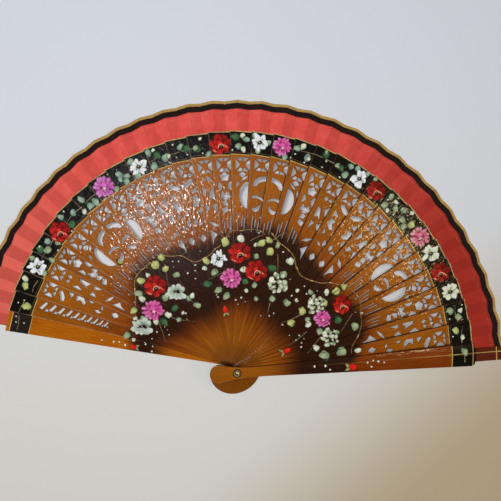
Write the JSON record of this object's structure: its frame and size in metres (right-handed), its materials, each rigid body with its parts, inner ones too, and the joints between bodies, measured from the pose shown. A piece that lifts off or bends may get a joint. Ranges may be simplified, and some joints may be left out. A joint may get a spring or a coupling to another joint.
{
  "type": "folding hand fan",
  "caption": "Open folding hand fan: pierced wooden sticks and two guards turn on one rivet, with a black painted band, painted flowers and a pleated coral cloth leaf.",
  "frame": {"origin": "on the rivet's axis, in the rear face of the rear guard, which the fan lies on", "axes": "+X to the fan's right, +Y along the middle of the open fan, +Z out of its painted front"},
  "size_m": [0.4204, 0.2314, 0.0304],
  "materials": {
    "stick_wood": "caramel-brown lacquered wood, painted",
    "guard_wood": "caramel-brown lacquered wood, painted",
    "leaf_cloth": "coral cotton with a black and gold edge",
    "rivet_metal": "polished"
  },
  "bodies": {
    "rear_guard": {"rear_guard": "guard_wood", "rivet": "rivet_metal", "front_washer": "rivet_metal"},
    "stick_01": {"stick_01": "stick_wood", "leaf_section_01": "leaf_cloth"},
    "stick_02": {"stick_02": "stick_wood"},
    "stick_03": {"stick_03": "stick_wood", "leaf_section_02": "leaf_cloth"},
    "stick_04": {"stick_04": "stick_wood"},
    "stick_05": {"stick_05": "stick_wood", "leaf_section_03": "leaf_cloth"},
    "stick_06": {"stick_06": "stick_wood"},
    "stick_07": {"stick_07": "stick_wood", "leaf_section_04": "leaf_cloth"},
    "stick_08": {"stick_08": "stick_wood"},
    "stick_09": {"stick_09": "stick_wood", "leaf_section_05": "leaf_cloth"},
    "stick_10": {"stick_10": "stick_wood"},
    "stick_11": {"stick_11": "stick_wood", "leaf_section_06": "leaf_cloth"},
    "stick_12": {"stick_12": "stick_wood"},
    "stick_13": {"stick_13": "stick_wood", "leaf_section_07": "leaf_cloth"},
    "stick_14": {"stick_14": "stick_wood"},
    "stick_15": {"stick_15": "stick_wood", "leaf_section_08": "leaf_cloth"},
    "stick_16": {"stick_16": "stick_wood"},
    "stick_17": {"stick_17": "stick_wood", "leaf_section_09": "leaf_cloth"},
    "stick_18": {"stick_18": "stick_wood"},
    "stick_19": {"stick_19": "stick_wood", "leaf_section_10": "leaf_cloth"},
    "stick_20": {"stick_20": "stick_wood"},
    "stick_21": {"stick_21": "stick_wood", "leaf_section_11": "leaf_cloth"},
    "stick_22": {"stick_22": "stick_wood"},
    "stick_23": {"stick_23": "stick_wood", "leaf_section_12": "leaf_cloth"},
    "stick_24": {"stick_24": "stick_wood"},
    "stick_25": {"stick_25": "stick_wood", "leaf_section_13": "leaf_cloth"},
    "stick_26": {"stick_26": "stick_wood"},
    "stick_27": {"stick_27": "stick_wood", "leaf_section_14": "leaf_cloth"},
    "stick_28": {"stick_28": "stick_wood"},
    "stick_29": {"stick_29": "stick_wood", "leaf_section_15": "leaf_cloth"},
    "stick_30": {"stick_30": "stick_wood"},
    "front_guard": {"front_guard": "guard_wood", "leaf_section_16": "leaf_cloth"}
  },
  "joints": [
    {"name": "stick_01_turn", "type": "hinge", "parent": "rear_guard", "child": "stick_01", "pos_m": [0, 0, 0], "axis": [0, 0, 1], "range_deg": [0, 5.32], "deforming": ["leaf_section_01"]},
    {"name": "stick_02_turn", "type": "hinge", "parent": "stick_01", "child": "stick_02", "pos_m": [0, 0, 0], "axis": [0, 0, 1], "range_deg": [0, 5.32]},
    {"name": "stick_03_turn", "type": "hinge", "parent": "stick_02", "child": "stick_03", "pos_m": [0, 0, 0], "axis": [0, 0, 1], "range_deg": [0, 5.32], "deforming": ["leaf_section_02"]},
    {"name": "stick_04_turn", "type": "hinge", "parent": "stick_03", "child": "stick_04", "pos_m": [0, 0, 0], "axis": [0, 0, 1], "range_deg": [0, 5.32]},
    {"name": "stick_05_turn", "type": "hinge", "parent": "stick_04", "child": "stick_05", "pos_m": [0, 0, 0], "axis": [0, 0, 1], "range_deg": [0, 5.32], "deforming": ["leaf_section_03"]},
    {"name": "stick_06_turn", "type": "hinge", "parent": "stick_05", "child": "stick_06", "pos_m": [0, 0, 0], "axis": [0, 0, 1], "range_deg": [0, 5.32]},
    {"name": "stick_07_turn", "type": "hinge", "parent": "stick_06", "child": "stick_07", "pos_m": [0, 0, 0], "axis": [0, 0, 1], "range_deg": [0, 5.32], "deforming": ["leaf_section_04"]},
    {"name": "stick_08_turn", "type": "hinge", "parent": "stick_07", "child": "stick_08", "pos_m": [0, 0, 0], "axis": [0, 0, 1], "range_deg": [0, 5.32]},
    {"name": "stick_09_turn", "type": "hinge", "parent": "stick_08", "child": "stick_09", "pos_m": [0, 0, 0], "axis": [0, 0, 1], "range_deg": [0, 5.32], "deforming": ["leaf_section_05"]},
    {"name": "stick_10_turn", "type": "hinge", "parent": "stick_09", "child": "stick_10", "pos_m": [0, 0, 0], "axis": [0, 0, 1], "range_deg": [0, 5.32]},
    {"name": "stick_11_turn", "type": "hinge", "parent": "stick_10", "child": "stick_11", "pos_m": [0, 0, 0], "axis": [0, 0, 1], "range_deg": [0, 5.32], "deforming": ["leaf_section_06"]},
    {"name": "stick_12_turn", "type": "hinge", "parent": "stick_11", "child": "stick_12", "pos_m": [0, 0, 0], "axis": [0, 0, 1], "range_deg": [0, 5.32]},
    {"name": "stick_13_turn", "type": "hinge", "parent": "stick_12", "child": "stick_13", "pos_m": [0, 0, 0], "axis": [0, 0, 1], "range_deg": [0, 5.32], "deforming": ["leaf_section_07"]},
    {"name": "stick_14_turn", "type": "hinge", "parent": "stick_13", "child": "stick_14", "pos_m": [0, 0, 0], "axis": [0, 0, 1], "range_deg": [0, 5.32]},
    {"name": "stick_15_turn", "type": "hinge", "parent": "stick_14", "child": "stick_15", "pos_m": [0, 0, 0], "axis": [0, 0, 1], "range_deg": [0, 5.32], "deforming": ["leaf_section_08"]},
    {"name": "stick_16_turn", "type": "hinge", "parent": "stick_15", "child": "stick_16", "pos_m": [0, 0, 0], "axis": [0, 0, 1], "range_deg": [0, 5.32]},
    {"name": "stick_17_turn", "type": "hinge", "parent": "stick_16", "child": "stick_17", "pos_m": [0, 0, 0], "axis": [0, 0, 1], "range_deg": [0, 5.32], "deforming": ["leaf_section_09"]},
    {"name": "stick_18_turn", "type": "hinge", "parent": "stick_17", "child": "stick_18", "pos_m": [0, 0, 0], "axis": [0, 0, 1], "range_deg": [0, 5.32]},
    {"name": "stick_19_turn", "type": "hinge", "parent": "stick_18", "child": "stick_19", "pos_m": [0, 0, 0], "axis": [0, 0, 1], "range_deg": [0, 5.32], "deforming": ["leaf_section_10"]},
    {"name": "stick_20_turn", "type": "hinge", "parent": "stick_19", "child": "stick_20", "pos_m": [0, 0, 0], "axis": [0, 0, 1], "range_deg": [0, 5.32]},
    {"name": "stick_21_turn", "type": "hinge", "parent": "stick_20", "child": "stick_21", "pos_m": [0, 0, 0], "axis": [0, 0, 1], "range_deg": [0, 5.32], "deforming": ["leaf_section_11"]},
    {"name": "stick_22_turn", "type": "hinge", "parent": "stick_21", "child": "stick_22", "pos_m": [0, 0, 0], "axis": [0, 0, 1], "range_deg": [0, 5.32]},
    {"name": "stick_23_turn", "type": "hinge", "parent": "stick_22", "child": "stick_23", "pos_m": [0, 0, 0], "axis": [0, 0, 1], "range_deg": [0, 5.32], "deforming": ["leaf_section_12"]},
    {"name": "stick_24_turn", "type": "hinge", "parent": "stick_23", "child": "stick_24", "pos_m": [0, 0, 0], "axis": [0, 0, 1], "range_deg": [0, 5.32]},
    {"name": "stick_25_turn", "type": "hinge", "parent": "stick_24", "child": "stick_25", "pos_m": [0, 0, 0], "axis": [0, 0, 1], "range_deg": [0, 5.32], "deforming": ["leaf_section_13"]},
    {"name": "stick_26_turn", "type": "hinge", "parent": "stick_25", "child": "stick_26", "pos_m": [0, 0, 0], "axis": [0, 0, 1], "range_deg": [0, 5.32]},
    {"name": "stick_27_turn", "type": "hinge", "parent": "stick_26", "child": "stick_27", "pos_m": [0, 0, 0], "axis": [0, 0, 1], "range_deg": [0, 5.32], "deforming": ["leaf_section_14"]},
    {"name": "stick_28_turn", "type": "hinge", "parent": "stick_27", "child": "stick_28", "pos_m": [0, 0, 0], "axis": [0, 0, 1], "range_deg": [0, 5.32]},
    {"name": "stick_29_turn", "type": "hinge", "parent": "stick_28", "child": "stick_29", "pos_m": [0, 0, 0], "axis": [0, 0, 1], "range_deg": [0, 5.32], "deforming": ["leaf_section_15"]},
    {"name": "stick_30_turn", "type": "hinge", "parent": "stick_29", "child": "stick_30", "pos_m": [0, 0, 0], "axis": [0, 0, 1], "range_deg": [0, 5.32]},
    {"name": "front_guard_turn", "type": "hinge", "parent": "stick_30", "child": "front_guard", "pos_m": [0, 0, 0], "axis": [0, 0, 1], "range_deg": [0, 5.32], "deforming": ["leaf_section_16"]}
  ],
  "couplings": [
    {"joint": "stick_02_turn", "follows": "stick_01_turn", "ratio": 1},
    {"joint": "stick_03_turn", "follows": "stick_01_turn", "ratio": 1},
    {"joint": "stick_04_turn", "follows": "stick_01_turn", "ratio": 1},
    {"joint": "stick_05_turn", "follows": "stick_01_turn", "ratio": 1},
    {"joint": "stick_06_turn", "follows": "stick_01_turn", "ratio": 1},
    {"joint": "stick_07_turn", "follows": "stick_01_turn", "ratio": 1},
    {"joint": "stick_08_turn", "follows": "stick_01_turn", "ratio": 1},
    {"joint": "stick_09_turn", "follows": "stick_01_turn", "ratio": 1},
    {"joint": "stick_10_turn", "follows": "stick_01_turn", "ratio": 1},
    {"joint": "stick_11_turn", "follows": "stick_01_turn", "ratio": 1},
    {"joint": "stick_12_turn", "follows": "stick_01_turn", "ratio": 1},
    {"joint": "stick_13_turn", "follows": "stick_01_turn", "ratio": 1},
    {"joint": "stick_14_turn", "follows": "stick_01_turn", "ratio": 1},
    {"joint": "stick_15_turn", "follows": "stick_01_turn", "ratio": 1},
    {"joint": "stick_16_turn", "follows": "stick_01_turn", "ratio": 1},
    {"joint": "stick_17_turn", "follows": "stick_01_turn", "ratio": 1},
    {"joint": "stick_18_turn", "follows": "stick_01_turn", "ratio": 1},
    {"joint": "stick_19_turn", "follows": "stick_01_turn", "ratio": 1},
    {"joint": "stick_20_turn", "follows": "stick_01_turn", "ratio": 1},
    {"joint": "stick_21_turn", "follows": "stick_01_turn", "ratio": 1},
    {"joint": "stick_22_turn", "follows": "stick_01_turn", "ratio": 1},
    {"joint": "stick_23_turn", "follows": "stick_01_turn", "ratio": 1},
    {"joint": "stick_24_turn", "follows": "stick_01_turn", "ratio": 1},
    {"joint": "stick_25_turn", "follows": "stick_01_turn", "ratio": 1},
    {"joint": "stick_26_turn", "follows": "stick_01_turn", "ratio": 1},
    {"joint": "stick_27_turn", "follows": "stick_01_turn", "ratio": 1},
    {"joint": "stick_28_turn", "follows": "stick_01_turn", "ratio": 1},
    {"joint": "stick_29_turn", "follows": "stick_01_turn", "ratio": 1},
    {"joint": "stick_30_turn", "follows": "stick_01_turn", "ratio": 1},
    {"joint": "front_guard_turn", "follows": "stick_01_turn", "ratio": 1}
  ]
}
